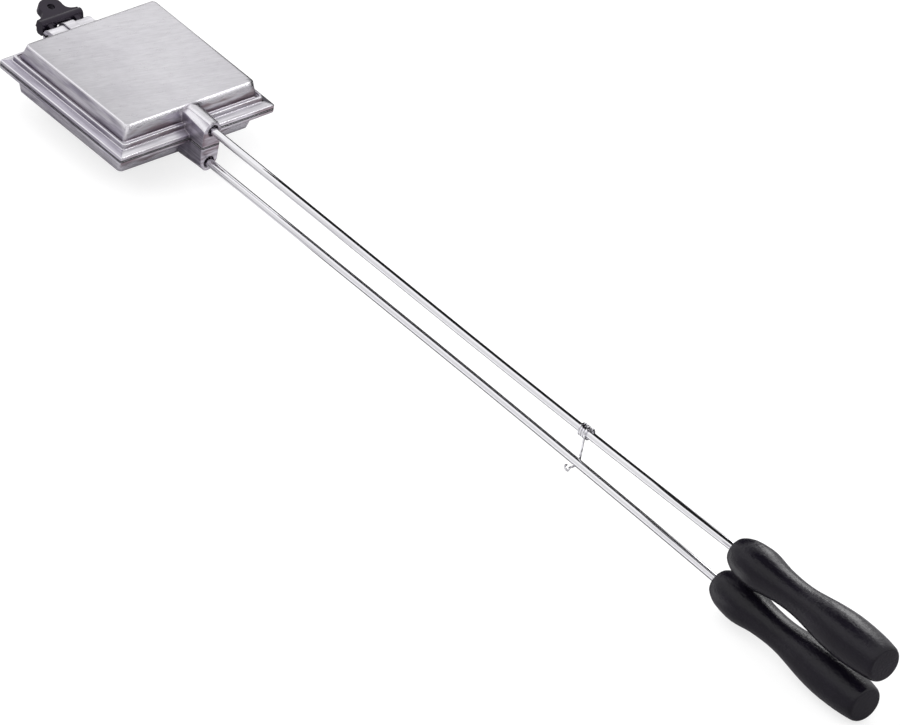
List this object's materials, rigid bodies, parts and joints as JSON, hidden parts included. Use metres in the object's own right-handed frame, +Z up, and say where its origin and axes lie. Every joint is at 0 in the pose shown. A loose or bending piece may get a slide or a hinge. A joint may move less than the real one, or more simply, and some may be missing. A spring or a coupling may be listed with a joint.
{
  "type": "sandwich iron",
  "caption": "Long-handled camp sandwich iron: hinged square cast pans on chromed rods with turned black grips, a wire latch and a swinging hanger at the hinge.",
  "frame": {"origin": "centre of the object's bounding box in X and Y, at its lowest point in Z", "axes": "+X from the pans along the rods to the grips, Y along the hinge pin, +Z up, with the iron shut and its parting plane level"},
  "size_m": [0.7356, 0.11, 0.0581],
  "materials": {
    "cast_aluminium": "sand cast, brushed on the flat tops and polished on the edges",
    "chromed_steel": "bright chrome plate",
    "pin_steel": "plain drawn steel",
    "black_paint": "satin black paint over turned wood, with a fine texture",
    "black_plastic": "moulded, glossy black"
  },
  "bodies": {
    "lower_half": {"lower_pan": "cast_aluminium", "lower_rod": "chromed_steel", "lower_handle": "black_paint", "hinge_pin": "pin_steel"},
    "upper_half": {"upper_pan": "cast_aluminium", "upper_rod": "chromed_steel", "upper_handle": "black_paint"},
    "latch": {"latch_wire": "chromed_steel"},
    "hanger": {"hanger": "black_plastic"}
  },
  "joints": [
    {"name": "head_hinge", "type": "hinge", "parent": "lower_half", "child": "upper_half", "pos_m": [-0.34274, 0, 0.02892], "axis": [0, -1, 0], "range_deg": [0, 90]},
    {"name": "latch_swing", "type": "hinge", "parent": "upper_half", "child": "latch", "pos_m": [0.10976, 0, 0.0402], "axis": [0.9999, 0, 0.0118], "range_deg": [0, 330]},
    {"name": "hanger_swing", "type": "hinge", "parent": "lower_half", "child": "hanger", "pos_m": [-0.34274, 0, 0.02892], "axis": [0, -1, 0], "range_deg": [0, 100]}
  ]
}
